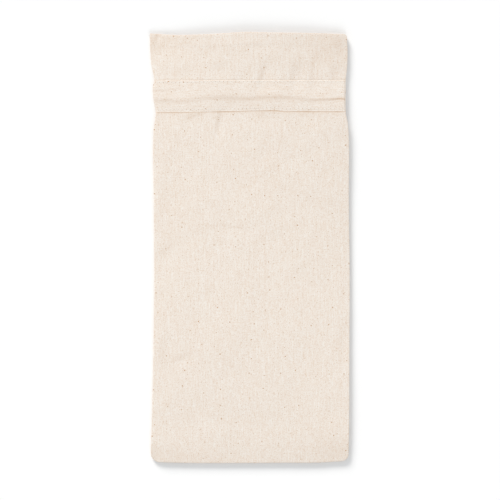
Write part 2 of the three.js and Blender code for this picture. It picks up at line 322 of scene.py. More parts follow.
# The floor lies just below the stitches of the back, and the camera a little off the bag's middle.
FLOOR_LEVEL = -0.15
FLOOR_FINISH = {"Roughness": 0.9, "Specular IOR Level": 0.1}
CAMERA_SHIFT = (0.2, -2.45)

# Mesh lines.
ROLL_STEPS = 16
FRONT_COLUMNS = 112
FRONT_ROWS = 208
FineRows = namedtuple("FineRows", "low high count")
FINE_ROWS = [FineRows(106.8, 108, 4), FineRows(108.4, 110.95, 18), FineRows(134, 136.7, 10)]
BACK_COLUMNS = 60
BACK_ROWS = 110
FOLD_STEPS = 6
HEM_ROWS = 8
FLAP_STEPS = 3
STRIP_EDGE_ROWS = 6
STRIP_ROWS = 40
STITCH_RINGS = 9
STITCH_SIDES = 6
HOLE_SIDES = 8


def smooth_step(value, low, high):
    share = np.clip((value - low) / (high - low), 0, 1)
    return share * share * (3 - 2 * share)


def lerp(start, end, share):
    return start + (end - start) * share


def curve_through(places, values):
    """A smooth curve through values at these places, level past its ends."""
    secants = np.diff(values) / np.diff(places)
    slopes = np.concatenate((secants[:1], (secants[:-1] + secants[1:]) / 2, secants[-1:]))

    def curve(place):
        inside = np.clip(place, places[0], places[-1])
        index = np.clip(np.searchsorted(places, inside) - 1, 0, len(secants) - 1)
        span = places[index + 1] - places[index]
        share = (inside - places[index]) / span
        rest = 1 - share
        ends = values[index] * rest**2 * (1 + 2 * share) + values[index + 1] * share**2 * (1 + 2 * rest)
        bends = slopes[index] * share * rest**2 - slopes[index + 1] * share**2 * rest
        return ends + span * bends

    return curve


def curves_through(table):
    """A curve for each of a table's columns, over its first one."""
    places, *columns = np.array(table, float).T
    return [curve_through(places, values) for values in columns]


left_seam, right_seam = curves_through(SIDES)
[mouth_dip] = curves_through(MOUTH_LINE)
[bottom_bow] = curves_through(BOTTOM_LINE)
crown_left, crown_middle, crown_right = curves_through(CROWN)
strip_curves = curves_through(STRIP)
strip_stitch, strip_lower, strip_crease, strip_half_width, strip_crest = strip_curves[:5]
crease_painted_shade, edge_painted_shade = strip_curves[5:]


def faded(distance, reach):
    return np.exp(-((distance / reach) ** 2))


def crease_depth(creases, x, y):
    depth = np.zeros_like(x)
    for crease in creases:
        turn = math.radians(crease.turn)
        along = (x - crease.x) * math.sin(turn) + (y - crease.y) * math.cos(turn)
        across = (x - crease.x) * math.cos(turn) - (y - crease.y) * math.sin(turn)
        fade = np.clip(1 - (2 * along / crease.length) ** 2, 0, 1) ** 2
        width = np.where(across > 0, crease.width * crease.far_wall, crease.width)
        depth += crease.depth * fade * faded(across, width)
    return depth


def ripple_height(x, y):
    """Low waves in many directions, the same on each run."""
    height = np.zeros_like(x)
    for ripple in RIPPLES:
        draw = np.random.default_rng(ripple.seed)
        for _ in range(RIPPLE_WAVES):
            turn, phase = draw.uniform(0, 2 * math.pi, 2)
            step = 2 * math.pi / (ripple.wavelength * draw.uniform(*RIPPLE_SPREAD))
            wave = np.sin((x * math.cos(turn) + y * math.sin(turn)) * step + phase)
            height += ripple.height * wave / math.sqrt(RIPPLE_WAVES / 2)
    return height


def crown_height(x, y):
    """Height of the front's cloth away from its edges."""
    left, middle, right = crown_left(y), crown_middle(y), crown_right(y)
    side = x / CROWN_SPAN
    inset = SOLID_INSET * smooth_step(y, BOTTOM, BOTTOM + INSET_REACH)
    return middle + side * (right - left) / 2 + side**2 * ((left + right) / 2 - middle) - inset


def loose_share(x):
    """How far the strip's upper edge stands out, which is less at its left end."""
    return lerp(LEAST_LOOSE, 1, smooth_step(x, *LOOSE_SPAN))


def furrow_depth(x, y):
    return FURROW_DEPTH * loose_share(x) * faded(y - STRIP_TOP, FURROW_WIDTH)


def bed_depth(x, y):
    inside = y - strip_lower(x)
    wall = smooth_step(inside, -BED_WALL, BED_WALL / 2)
    return BED_DEPTH * wall * (1 - smooth_step(inside, 0, BED_REACH))


def front_height(x, y):
    pressed = crease_depth(CREASES, x, y) + furrow_depth(x, y) + bed_depth(x, y)
    return crown_height(x, y) - pressed + ripple_height(x, y)


def shaded_slope(creases, x, y):
    """How steeply the creases' walls fall away from the key light."""
    step_x, step_y = (SLOPE_STEP * part for part in TOWARDS_KEY)
    fall = crease_depth(creases, x, y) - crease_depth(creases, x + step_x, y + step_y)
    return np.maximum(fall, 0) / SLOPE_STEP


def corner_inset(distance, size, roundness):
    """How far a row's end moves in at a rounded corner, by its distance from the edge across it."""
    inside = np.clip(size - distance, 0, size)
    return size - (size**roundness - inside**roundness) ** (1 / roundness)


def seam_distance(from_side, from_bottom, size, roundness):
    """Distance in from a seam that runs round a corner of this size."""
    side_gap = np.maximum(size - from_side, 0)
    bottom_gap = np.maximum(size - from_bottom, 0)
    rounded = size - (side_gap**roundness + bottom_gap**roundness) ** (1 / roundness)
    nearest = np.minimum(from_side, from_bottom)
    return np.where(nearest >= size, nearest, rounded)


def quarter_round(distance, width):
    rest = np.clip(1 - distance / width, 0, 1)
    return np.sqrt(1 - rest**2)


def roll_share(distance, y, inset):
    """Share of its rise that the front has made at a distance in from the seam."""
    shoulder = SHOULDER_SHARE * smooth_step(y, BOTTOM, BOTTOM + SHOULDER_REACH)
    fold = quarter_round(distance, FRONT_ROLL - inset)
    return lerp(fold, quarter_round(distance, SHOULDER - inset), shoulder)


Columns = namedtuple("Columns", "band share")


def make_columns(middle_count, first_angle=0):
    """Columns across the bag: fine steps round each rolled edge, even ones between them."""
    edge = 1 - np.cos(np.radians(np.linspace(first_angle, 90, ROLL_STEPS + 1)))
    middle = np.arange(1, middle_count) / middle_count
    band = np.repeat([-1, 0, 1], [len(edge), len(middle), len(edge)])
    return Columns(band, np.concatenate((edge, middle, edge[::-1])))


def column_place(columns, y, inset, left_corner=0, right_corner=0):
    left_inner = EDGE_BAND - left_seam(y)
    right_inner = right_seam(y) - EDGE_BAND
    left_place = lerp(inset + left_corner - left_seam(y), left_inner, columns.share)
    right_place = lerp(right_seam(y) - inset - right_corner, right_inner, columns.share)
    middle_place = lerp(left_inner, right_inner, columns.share)
    return np.select([columns.band < 0, columns.band > 0], [left_place, right_place], middle_place)


def panel_plan(columns, rows, inset):
    """Plan of a panel's face, this far inside its outline, and its points' distance in from the seam."""
    row = rows[:, None]
    inset = np.broadcast_to(inset, rows.shape)[:, None]
    left_size, right_size = LEFT_CORNER.size - inset, RIGHT_CORNER.size - inset
    flat_y = row + inset * (1 - np.minimum((row - BOTTOM) / EDGE_BAND, 1))
    from_bottom = flat_y - BOTTOM - inset
    left_corner = corner_inset(from_bottom, left_size, LEFT_CORNER.roundness)
    right_corner = corner_inset(from_bottom, right_size, RIGHT_CORNER.roundness)
    right_corner = right_corner + corner_inset(MOUTH - row, *MOUTH_CORNER)
    x = column_place(columns, flat_y, inset, left_corner, right_corner)
    from_left = x + left_seam(flat_y) - inset
    from_right = right_seam(flat_y) - inset - x
    near_left = seam_distance(from_left, from_bottom, left_size, LEFT_CORNER.roundness)
    near_right = seam_distance(from_right, from_bottom, right_size, RIGHT_CORNER.roundness)
    distance = np.where(from_left < from_right, near_left, near_right)
    mouth_share = smooth_step(row, MOUTH - MOUTH_REACH, MOUTH)
    bottom_share = 1 - smooth_step(row, BOTTOM, BOTTOM + BOTTOM_REACH)
    y = flat_y - mouth_dip(x) * mouth_share + bottom_bow(x) * bottom_share
    return x, y, distance


def grid_normals(points):
    across = np.gradient(points, axis=1)
    along = np.gradient(points, axis=0)
    normals = np.cross(across, along)
    return normals / np.linalg.norm(normals, axis=2, keepdims=True)


def link_object(name, data):
    made = bpy.data.objects.new(name, data)
    bpy.context.scene.collection.objects.link(made)
    return made


class ClothMesh:
    """Points and faces of one piece, gathered from grids that share their edges."""

    def __init__(self):
        self.points = []
        self.painted_shade_shares = []
        self.faces = []

    def add_points(self, points, tint=0):
        """Adds points with the share of painted warm shade at each, and gives their numbers."""
        first = len(self.points)
        self.points.extend(points.reshape(-1, 3))
        self.painted_shade_shares.extend(np.broadcast_to(tint, points.shape[:-1]).ravel())
        return np.arange(first, len(self.points)).reshape(points.shape[:-1])

    def add_grid(self, indices):
        corners = (indices[:-1, :-1], indices[:-1, 1:], indices[1:, 1:], indices[1:, :-1])
        self.faces.extend(np.stack([corner.ravel() for corner in corners], axis=1).tolist())

    def at(self, indices):
        return np.array([self.points[index] for index in indices])

    def make_object(self, name, material, thickness=0):
        mesh = bpy.data.meshes.new(name)
        mesh.from_pydata((np.array(self.points) * MM).tolist(), [], self.faces)
        mesh.shade_smooth()
        # Each point's share of painted warm shade goes to the cloth's material.
        mesh.attributes.new(PAINTED_FOLD_SHADE, "FLOAT", "POINT").data.foreach_set("value", self.painted_shade_shares)
        mesh.materials.append(material)
        cloth = link_object(name, mesh)
        if thickness:
            solidify = cloth.modifiers.new("Cloth thickness", "SOLIDIFY")
            solidify.thickness = thickness
            solidify.offset = -1
        return cloth


def hem_fold(settings):
    """Rows round the mouth's fold and down the hem's inside, and how far each lies inside the face."""
    radius = settings.hem_fold_radius / MM
    depth = settings.hem_depth / MM
    angles = np.radians(np.linspace(90, -90, FOLD_STEPS + 1))
    fold_rows = MOUTH - radius + radius * np.cos(angles)
    fold_insets = radius * (1 - np.sin(angles))
    hem_rows = np.linspace(MOUTH - radius, MOUTH - depth, HEM_ROWS + 1)[1:]
    rows = np.concatenate((fold_rows, hem_rows))
    return rows, np.concatenate((fold_insets, np.full(HEM_ROWS, 2 * radius)))


def panel_rows(settings, count, fine_rows=()):
    """Rows from the bottom seam round into the hem, how far each lies inside the panel's face, how many
    come before the fold, and the number of the one on the hem's stitching. Fine rows take the place of
    the even ones that lie among them."""
    roll = BOTTOM + EDGE_BAND * (1 - np.cos(np.linspace(0, math.pi / 2, ROLL_STEPS + 1)))
    stitch = MOUTH - settings.hem_stitch / MM
    body = np.linspace(roll[-1], stitch, count + 1)[1:]
    step = body[1] - body[0]
    last = MOUTH - settings.hem_fold_radius / MM
    mouth = np.linspace(stitch, last, round((last - stitch) / step) + 1)[1:-1]
    rows = np.concatenate((roll, body, mouth))
    for fine in fine_rows:
        even = rows[(rows < fine.low) | (rows > fine.high)]
        rows = np.sort(np.concatenate((even, np.linspace(*fine))))
    fold_rows, fold_insets = hem_fold(settings)
    insets = np.concatenate((np.zeros(len(rows)), fold_insets))
    stitch_row = int(np.searchsorted(rows, stitch))
    return np.concatenate((rows, fold_rows)), insets, len(rows), stitch_row


def front_grid(settings):
    """Outer face of the front and round into its hem, how many main rows it has and its stitched row."""
    columns = make_columns(FRONT_COLUMNS)
    rows, insets, main_rows, stitch_row = panel_rows(settings, FRONT_ROWS, FINE_ROWS)
    x, y, distance = panel_plan(columns, rows, insets)
    inset = insets[:, None]
    share = roll_share(distance, y, inset)
    height = (front_height(x, y) - inset) * lerp(EDGE_SHARE, 1, share)
    return np.stack((x, y, height), axis=2), main_rows, stitch_row


def back_grid(settings):
    """Underside of the back and up into its hem, from right to left so that it faces down."""
    columns = make_columns(BACK_COLUMNS)
    rows, heights, main_rows, stitch_row = panel_rows(settings, BACK_ROWS)
    x, y, _ = panel_plan(columns, rows, settings.fold_radius / MM + SEAM_TUCK / 2)
    points = np.stack((x, y, np.broadcast_to(heights[:, None], x.shape)), axis=2)
    return points[:, ::-1], main_rows, stitch_row


def seam_line(indices, main_rows):
    """Indices down one side of a panel, along its bottom and up the other side."""
    down = indices[:main_rows, 0][::-1]
    up = indices[:main_rows, -1]
    return np.concatenate((down, indices[0, 1:-1], up))


def add_seam_fold(cloth, line, fold, lengths):
    """Folds the cloth under along the seam, in steps inward and upward from it, and adds a flap."""
    edge = cloth.at(line)
    tangent = np.gradient(edge[:, :2], axis=0)
    inward = np.stack((-tangent[:, 1], tangent[:, 0]), axis=1)
    inward /= np.linalg.norm(inward, axis=1, keepdims=True)
    if (inward[0] @ -edge[0, :2]) < 0:
        inward = -inward
    last_in, last_up = fold[-1]
    shares = np.arange(1, FLAP_STEPS + 1) / FLAP_STEPS
    flap = [(last_in + lengths * share, last_up) for share in shares]
    rings = [line]
    for step_in, step_up in fold + flap:
        ring = edge.copy()
        ring[:, :2] += inward * np.broadcast_to(step_in, len(line))[:, None]
        ring[:, 2] += step_up
        rings.append(cloth.add_points(ring))
    cloth.add_grid(np.stack(rings)[:, ::-1])


def flap_lengths(points, settings):
    """The seam's turning is full along the bag and runs out to next to nothing below the hem."""
    hem_line = MOUTH - settings.hem_depth / MM
    share = 1 - smooth_step(points[:, 1], hem_line - HEM_RUN_OUT, hem_line)
    return lerp(LEAST_FLAP, settings.seam_allowance / MM, share)


def front_painted_shade(points):
    """Painted warm shade on the front below the casing strip's edge, over slack cloth and in its creases.
    """
    x, y = points[..., 0], points[..., 1]
    below = strip_lower(x) - y
    tint = edge_painted_shade(x) * faded(below - EDGE_PAINTED_SHADE_REACH / 2, EDGE_PAINTED_SHADE_REACH)
    tint = np.maximum(tint, TAIL_PAINTED_SHADE * faded(below, TAIL_REACH))
    tint += UPPER_PAINTED_SHADE * faded(y - STRIP_TOP - UPPER_PAINTED_SHADE_REACH / 2, UPPER_PAINTED_SHADE_REACH)
    for slack in SLACKS:
        tint += slack.tint * faded(x - slack.x, slack.reach_x) * faded(y - slack.y, slack.reach_y)
    return tint + PAINTED_SHADE_PER_SLOPE * shaded_slope(CREASES, x, y)


def start_panel(points, main_rows, tint=0):
    """A mesh with a panel's grid, and the numbers of its points along the seam."""
    cloth = ClothMesh()
    indices = cloth.add_points(points, tint)
    cloth.add_grid(indices)
    return cloth, seam_line(indices, main_rows)


def front_cloth(settings, material):
    points, main_rows, _ = front_grid(settings)
    cloth, line = start_panel(points, main_rows, front_painted_shade(points))
    radius = settings.fold_radius / MM
    edge = cloth.at(line)
    drop = edge[:, 2] - 2 * radius - SEWN_GAP
    turns = np.radians(np.linspace(0, 90, FOLD_STEPS + 1)[1:])
    fold = [(SEAM_TUCK * (1 - math.cos(turn)), -drop * math.sin(turn)) for turn in turns]
    add_seam_fold(cloth, line, fold, flap_lengths(edge, settings))
    return cloth.make_object("front_cloth", material, settings.cloth_thickness)


def back_cloth(settings, material):
    points, main_rows, _ = back_grid(settings)
    cloth, line = start_panel(points, main_rows)
    radius = settings.fold_radius / MM
    turns = np.radians(np.linspace(-90, 90, 2 * FOLD_STEPS + 1)[1:])
    fold = [(-radius * math.cos(turn), radius * (1 + math.sin(turn))) for turn in turns]
    add_seam_fold(cloth, line, fold, flap_lengths(cloth.at(line), settings))
    return cloth.make_object("back_cloth", material, settings.cloth_thickness)


def strip_lift(x, y):
    """How far the loose cloth of the casing stands up from its sewn edges."""
    stitch, lower, crease = strip_stitch(x), strip_lower(x), strip_crease(x)
    half_width, crest = strip_half_width(x), strip_crest(x)
    rise = crest * smooth_step(stitch - y, 0, stitch - crease - half_width)
    drop = (crest + STRIP_SAG) * smooth_step(crease + half_width - y, 0, 2 * half_width)
    body = STRIP_BODY * loose_share(x) * smooth_step(STRIP_TOP - y, 0, STRIP_EDGE)
    body = body * smooth_step(y - lower, STRIP_EDGE, crease - lower)
    rim = STRIP_RIM * smooth_step(lower + STRIP_EDGE - y, 0, STRIP_EDGE)
    return rise - drop + body + rim - crease_depth(STRIP_CREASES, x, y)


def over_front(columns, y, outset):
    """Points lying this far out from the front, each column with its own rows."""
    x = column_place(columns, y, -outset)
    distance = np.minimum(x + left_seam(y), right_seam(y) - x) + outset
    share = roll_share(distance, y, -outset)
    return np.stack((x, y, front_height(x, y) * lerp(EDGE_SHARE, 1, share) + outset), axis=2)


def strip_grid(settings):
    """Outer face of the strip with its edges turned under, and the numbers of its two stitched rows."""
    columns = make_columns(FRONT_COLUMNS, STRIP_END)
    places = column_place(columns, np.full((1, 1), STRIP_TOP), 0)[0]
    from_end = np.minimum(places - places[0], places[-1] - places)
    end_share = lerp(STRIP_END_SHARE, 1, quarter_round(from_end, STRIP_END_ROUND))
    radius = settings.strip_fold_radius / MM
    turn_under = settings.strip_turn_under / MM
    groove = settings.stitch_groove / MM
    top_face = SEWN_GAP + 2 * radius
    angles = np.radians(np.linspace(-90, 90, FOLD_STEPS + 1))
    turn_in = np.concatenate(([turn_under], radius * (1 - np.cos(angles))))
    turn_up = SEWN_GAP + np.concatenate(([0], radius * (1 + np.sin(angles))))
    low_rows = np.linspace(radius, LOWER_STITCH, STRIP_EDGE_ROWS + 1)[1:]
    y_columns, outset_columns = [], []
    for place in places:
        stitch, lower = float(strip_stitch(place)), float(strip_lower(place))
        low_main = lower + low_rows
        high_main = np.linspace(stitch, STRIP_TOP - radius, STRIP_EDGE_ROWS + 1)[:-1]
        middle = np.linspace(low_main[-1], high_main[0], STRIP_ROWS + 1)[1:-1]
        main = np.concatenate((low_main, middle, high_main))
        stitches = np.array([low_main[-1], high_main[0]])
        pressed = faded(main[:, None] - stitches, GROOVE_WIDTH).sum(axis=1)
        main_out = top_face + strip_lift(np.full_like(main, place), main) - groove * pressed
        y_columns.append(np.concatenate((lower + turn_in, main, STRIP_TOP - turn_in[::-1])))
        outset_columns.append(np.concatenate((turn_up, main_out, turn_up[::-1])))
    low_row = len(turn_in) + STRIP_EDGE_ROWS - 1
    outsets = np.stack(outset_columns, axis=1) * end_share
    points = over_front(columns, np.stack(y_columns, axis=1), outsets)
    return points, low_row, low_row + STRIP_ROWS


def strip_cloth(settings, material):
    points, _, _ = strip_grid(settings)
    x, y = points[..., 0], points[..., 1]
    # Painted warm shade in the crease, and on crease walls that face away from the key light.
    tint = crease_painted_shade(x) * faded(y - strip_crease(x), strip_half_width(x))
    tint += PAINTED_SHADE_PER_SLOPE * shaded_slope(STRIP_CREASES, x, y)
    cloth = ClothMesh()
    cloth.add_grid(cloth.add_points(points, tint))
    return cloth.make_object("casing_strip_cloth", material, settings.cloth_thickness)


def path_along(grid, row):
    """Length of a row of a cloth's grid, and a function that gives points and normals along it."""
    path, normals = grid[row], grid_normals(grid)[row]
    steps = np.linalg.norm(np.diff(path, axis=0), axis=1)
    travel = np.concatenate(([0], np.cumsum(steps)))

    def along(place):
        point, normal = (
            np.stack([np.interp(place, travel, values[:, axis]) for axis in range(3)], axis=-1)
            for values in (path, normals)
        )
        return point, normal / np.linalg.norm(normal, axis=-1, keepdims=True)

    return travel[-1], along


def add_stitch(thread, points, normals, radius, draw):
    """Adds a tube that comes out of one needle hole and goes down the next."""
    share = np.linspace(0, 1, len(points))
    tangent = np.gradient(points, axis=0)
    tangent /= np.linalg.norm(tangent, axis=1, keepdims=True)
    side = np.cross(tangent, normals)
    slant = draw.normal(0, STITCH_SLANT) * (share - 0.5) + draw.normal(0, STITCH_STRAY)
    rise = radius * (np.sqrt(np.sin(math.pi * share)) - 1)
    centre = points + normals * rise[:, None] + side * slant[:, None]
    turns = np.linspace(0, 2 * math.pi, STITCH_SIDES + 1)[:-1]
    lines = [centre + radius * (side * math.cos(turn) + normals * math.sin(turn)) for turn in turns]
    indices = thread.add_points(np.stack(lines))
    thread.add_grid(np.concatenate((indices, indices[:1])))
    thread.faces.extend([indices[:, 0].tolist(), indices[::-1, -1].tolist()])


def add_hole(holes, point, normal, radius):
    side = np.cross(normal, (1.0, 0.0, 0.0))
    side /= np.linalg.norm(side)
    forward = np.cross(side, normal)
    ring = [
        point + radius * (forward * math.cos(turn) + side * math.sin(turn)) + HOLE_LIFT * normal
        for turn in np.linspace(0, 2 * math.pi, HOLE_SIDES + 1)[:-1]
    ]
    holes.faces.append(holes.add_points(np.array(ring)).tolist())


def add_stitches(thread, holes, path, sizes, draw):
    """Adds one line of lockstitch along a path, and its needle holes."""
    total, along = path
    length, thickness, gap = (size / MM for size in sizes)
    count = int(total / length)
    start = (total - count * length) / 2
    share = np.linspace(0, 1, STITCH_RINGS)
    for number in range(count):
        place = start + number * length + gap / 2 + share * (length - gap)
        add_stitch(thread, *along(place), thickness / 2, draw)
    for number in range(count + 1):
        add_hole(holes, *along(start + number * length), gap * draw.uniform(*HOLE_SIZES))


class Wire:
    """A socket's value in a shader. Sums on it add Math nodes."""

    def __init__(self, shader, socket):
        self.shader = shader
        self.socket = socket

    def __add__(self, other):
        return self.shader.math("ADD", self, other)

    def __sub__(self, other):
        return self.shader.math("SUBTRACT", self, other)

    def __mul__(self, other):
        return self.shader.math("MULTIPLY", self, other)

    def __pow__(self, other):
        return self.shader.math("POWER", self, other)

    def __rsub__(self, other):
        return self.shader.math("SUBTRACT", other, self)

    def __abs__(self):
        return self.shader.math("ABSOLUTE", self)

    __radd__ = __add__
    __rmul__ = __mul__


class Shader:
    """The nodes of one new material."""

    def __init__(self, name):
        self.material = bpy.data.materials.new(name)
        self.material.use_nodes = True
        self.tree = self.material.node_tree
        self.tree.nodes.clear()

    def node(self, kind, settings, sockets, output=0):
        """Adds a node, sets its settings and then its sockets' values or links, and gives one output."""
        node = self.tree.nodes.new("ShaderNode" + kind)
        for name, value in settings.items():
            setattr(node, name, value)
        for name, value in sockets.items():
            if isinstance(value, Wire):
                self.tree.links.new(value.socket, node.inputs[name])
            else:
                node.inputs[name].default_value = value
        return Wire(self, node.outputs[output]) if node.outputs else node

    def math(self, operation, *values):
        return self.node("Math", {"operation": operation}, dict(enumerate(values)))

    def mix_colours(self, share, first, second):
        return self.node("Mix", {"data_type": "RGBA"}, {0: share, 6: first, 7: second}, output=2)

    def stepped(self, value, low, high):
        """A smooth step from 0 at low to 1 at high."""
        sockets = {"Value": value, "From Min": low, "From Max": high}
        return self.node("MapRange", {"interpolation_type": "SMOOTHSTEP"}, sockets)

    def scaled(self, place, cell, turn=0, shift=(0, 0, 0)):
        """A place in units of a cell's size in millimetres, turned about Z."""
        sockets = {
            "Vector": place,
            "Location": shift,
            "Rotation": (0, 0, math.radians(turn)),
            "Scale": tuple(size * MM for size in cell),
        }
        return self.node("Mapping", {"vector_type": "TEXTURE"}, sockets)

    def noise(self, place, detail=1):
        return self.node("TexNoise", {}, {"Vector": place, "Scale": 1, "Detail": detail})

    def flecks(self, place, flecks):
        """Small round seeds in some of the cells that a place is counted in."""
        kind, settings, sockets = "TexVoronoi", {"voronoi_dimensions": "2D"}, {"Vector": place, "Scale": 1}
        distance, colour = (self.node(kind, settings, sockets, part) for part in ("Distance", "Color"))
        chance, size = (self.node("SeparateColor", {}, {0: colour}, part) for part in ("Red", "Green"))
        shown = self.stepped(chance, 1 - flecks.kept, 1 - flecks.kept + FLECK_CUT)
        reach = flecks.radius * (LEAST_FLECK + size * FLECK_SPREAD)
        soft = FLECK_EDGE * flecks.radius
        return shown * (1 - self.stepped(distance - reach, -soft, soft)) * flecks.strength

    def finish(self, sockets):
        """Ends the nodes in a surface with these values, and gives the material."""
        surface = self.node("BsdfPrincipled", {}, sockets)
        self.node("OutputMaterial", {}, {"Surface": surface})
        return self.material


def rgba(colour):
    return (*colour, 1.0)


def calico(name, settings, cut):
    """Unbleached plain-weave cotton."""
    shader = Shader(name)
    place = shader.node("TexCoord", {}, {}, "Object")

    def cells(across, along):
        return shader.scaled(place, (across, along, min(across, along)), *cut)

    warp, slubs, weft, mottle = (
        shader.noise(cells(streaks.across, streaks.along), streaks.detail)
        for streaks in (WARP, SLUBS, WEFT, MOTTLE)
    )
    yarn = settings.yarn_pitch / MM
    yarn_cell = shader.node("VectorMath", {"operation": "FLOOR"}, {0: cells(yarn, yarn)})
    crossing = shader.node("TexWhiteNoise", {"noise_dimensions": "3D"}, {"Vector": yarn_cell})
    shade = crossing**2 * CROSSING_SHADE + warp * WARP.shade + slubs * SLUBS.shade
    shade = shade + weft * WEFT.shade + mottle * MOTTLE.shade - SHADE_SHIFT
    plain = shader.mix_colours(shade, rgba(settings.cloth_light), rgba(settings.cloth_dark))
    fine, large = (
        shader.flecks(cells(flecks.cell, flecks.cell), flecks) for flecks in (FINE_FLECKS, LARGE_FLECKS)
    )
    seeds = shader.math("MAXIMUM", fine, large)
    flecked = shader.mix_colours(seeds, plain, rgba(settings.seed_colour))
    # Painted warm shade: each point's share draws the cloth's colour towards the shade colour.
    fold = shader.node("Attribute", {"attribute_name": PAINTED_FOLD_SHADE}, {}, "Fac")
    colour = shader.mix_colours(fold, flecked, rgba(settings.painted_shade_colour))
    weave_place = shader.scaled(place, (yarn / math.pi, yarn / math.pi, 1), cut.turn)
    wave_x, wave_y = (
        shader.math("SINE", shader.node("SeparateXYZ", {}, {0: weave_place}, axis)) for axis in "XY"
    )
    weave = abs(wave_x * wave_y) ** WEAVE_POWER
    height = weave * (WEAVE_RELIEF + crossing * CROSSING_RELIEF)
    height = height + warp * WARP.relief + weft * WEFT.relief
    relief = {"Strength": settings.weave_strength, "Distance": settings.weave_depth, "Height": height}
    return shader.finish({
        "Base Color": colour,
        "Roughness": CLOTH_ROUGHNESS + warp * ROUGHNESS_SPREAD,
        "Normal": shader.node("Bump", {}, relief),
        **CLOTH_FINISH,
    })


def grained(name, grain, first, second):
    """A material for the sewing, mottled between two colours by its grain."""
    shader = Shader(name)
    place = shader.node("TexCoord", {}, {}, "Object")
    mottle = shader.noise(shader.scaled(place, (grain.cell, grain.cell, grain.cell), grain.turn))
    relief = {"Strength": grain.strength, "Distance": GRAIN_DEPTH * MM, "Height": mottle}
    return shader.finish({
        "Base Color": shader.mix_colours(mottle, rgba(first), rgba(second)),
        "Roughness": grain.roughness + mottle * grain.spread,
        "Normal": shader.node("Bump", {}, relief),
        "Specular IOR Level": grain.specular,
    })


def in_mm(name, description, size):
    """A length, with its default in millimetres."""
    return bpy.props.FloatProperty(
        name=name, description=description, default=size * MM, unit="LENGTH", precision=5
    )


def in_degrees(name, description, degrees):
    """An angle, with its default in degrees."""
    return bpy.props.FloatProperty(
        name=name, description=description, default=math.radians(degrees), subtype="ANGLE"
    )


def as_colour(name, description, colour):
    return bpy.props.FloatVectorProperty(
        name=name, description=description, default=colour, subtype="COLOR"
    )


def as_strength(name, description, strength):
    return bpy.props.FloatProperty(name=name, description=description, default=strength)


class BagSettings(bpy.types.PropertyGroup):
    """Sizes and colours of the bag's cloth and sewing."""

    cloth_thickness: in_mm("Cloth thickness", "One layer of cloth", 0.05)
    fold_radius: in_mm("Fold radius", "Half the height of the folded edges at the seams", 0.42)
    hem_fold_radius: in_mm("Hem fold radius", "Half the height of the folded edge at the mouth", 0.1)
    hem_depth: in_mm("Hem depth", "Cloth turned in at the mouth", 11.5)
    hem_stitch: in_mm("Hem stitching", "From the mouth's edge to the hem's line of stitches", 10.3)
    seam_allowance: in_mm("Seam allowance", "Cloth turned inside along the side and bottom seams", 3.5)
    strip_fold_radius: in_mm("Strip fold radius", "Half the height of the strip's turned edges", 0.06)
    strip_turn_under: in_mm("Strip turn-under", "Cloth turned under along the strip's long edges", 5)
    stitch_groove: in_mm("Stitch groove", "How far the stitches draw the casing strip down", 0.02)
    stitch_length: in_mm("Stitch length", "From one needle hole to the next", 3.25)
    hole_width: in_mm("Needle hole", "Gap between two stitches", 0.42)
    hem_hole_width: in_mm("Hem needle hole", "Gap between two stitches of the hem", 0.25)
    thread_thickness: in_mm("Thread thickness", "Diameter of the casing's sewing thread", 0.3)
    hem_thread_thickness: in_mm("Hem thread thickness", "Diameter of the hems' finer thread", 0.16)
    yarn_pitch: in_mm("Yarn pitch", "From one yarn of the weave to the next", 0.45)
    weave_depth: in_mm("Weave depth", "Relief of the weave and its slubs", 0.12)
    weave_strength: bpy.props.FloatProperty(
        name="Weave strength", description="How strongly the weave's relief shows",
        default=0.5, subtype="FACTOR",
    )
    cloth_light: as_colour("Light yarn", "The cloth's lightest yarns", (0.834, 0.812, 0.775))
    cloth_dark: as_colour("Dark yarn", "The cloth's darkest yarns", (0.666, 0.510, 0.382))
    seed_colour: as_colour("Seed flecks", "Flecks of cotton seed", (0.45, 0.25, 0.10))
    # Colour of the painted warm shade in folds, creases and over slack cloth.
    painted_shade_colour: as_colour("Folds", "Warm shade deep in the cloth's folds", (0.60, 0.40, 0.25))
    thread_colour: as_colour("Thread", "Sewing thread", (0.76, 0.70, 0.63))
    hole_shade_colour: as_colour("Hole", "Shade in a needle hole", (0.52, 0.36, 0.22))


class StageSettings(bpy.types.PropertyGroup):
    """Floor, light and camera of the studio."""

    floor_size: in_mm("Floor size", "Side of the square floor", 6000)
    floor_colour: as_colour("Floor", "Plain pale floor", (0.88, 0.88, 0.88))
    key_power: as_strength("Key light", "Strength of the light from the upper left", 3.0)
    key_rise: in_degrees("Key rise", "Angle of the key light above the floor", 24)
    key_turn: in_degrees("Key turn", "Turn of the key light about the bag", 204)
    key_width: in_degrees("Key width", "Apparent width of the key light, which softens its shadows", 25)
    key_colour: as_colour("Key colour", "Tint of the key light", (1.0, 0.975, 0.945))
    fill_power: as_strength("Fill light", "Strength of the weaker light from the lower right", 0.6)
    fill_rise: in_degrees("Fill rise", "Angle of the fill light above the floor", 38)
    fill_turn: in_degrees("Fill turn", "Turn of the fill light about the bag", 15)
    fill_width: in_degrees("Fill width", "Apparent width of the fill light", 30)
    fill_colour: as_colour("Fill colour", "Tint of the fill light", (1.0, 1.0, 1.0))
    sky_strength: as_strength("Surround", "Even light from all round", 0.663)
    sky_colour: as_colour("Surround colour", "Tint of the light from all round", (0.965, 0.985, 1.0))
    camera_height: in_mm("Camera height", "Straight above the bag", 3200)
    camera_lens: bpy.props.FloatProperty(
        name="Lens", description="Focal length", default=284.4, unit="CAMERA"
    )


def place_piece(piece, *nodes):
    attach(piece, "root")
    if nodes:
        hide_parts(*nodes)


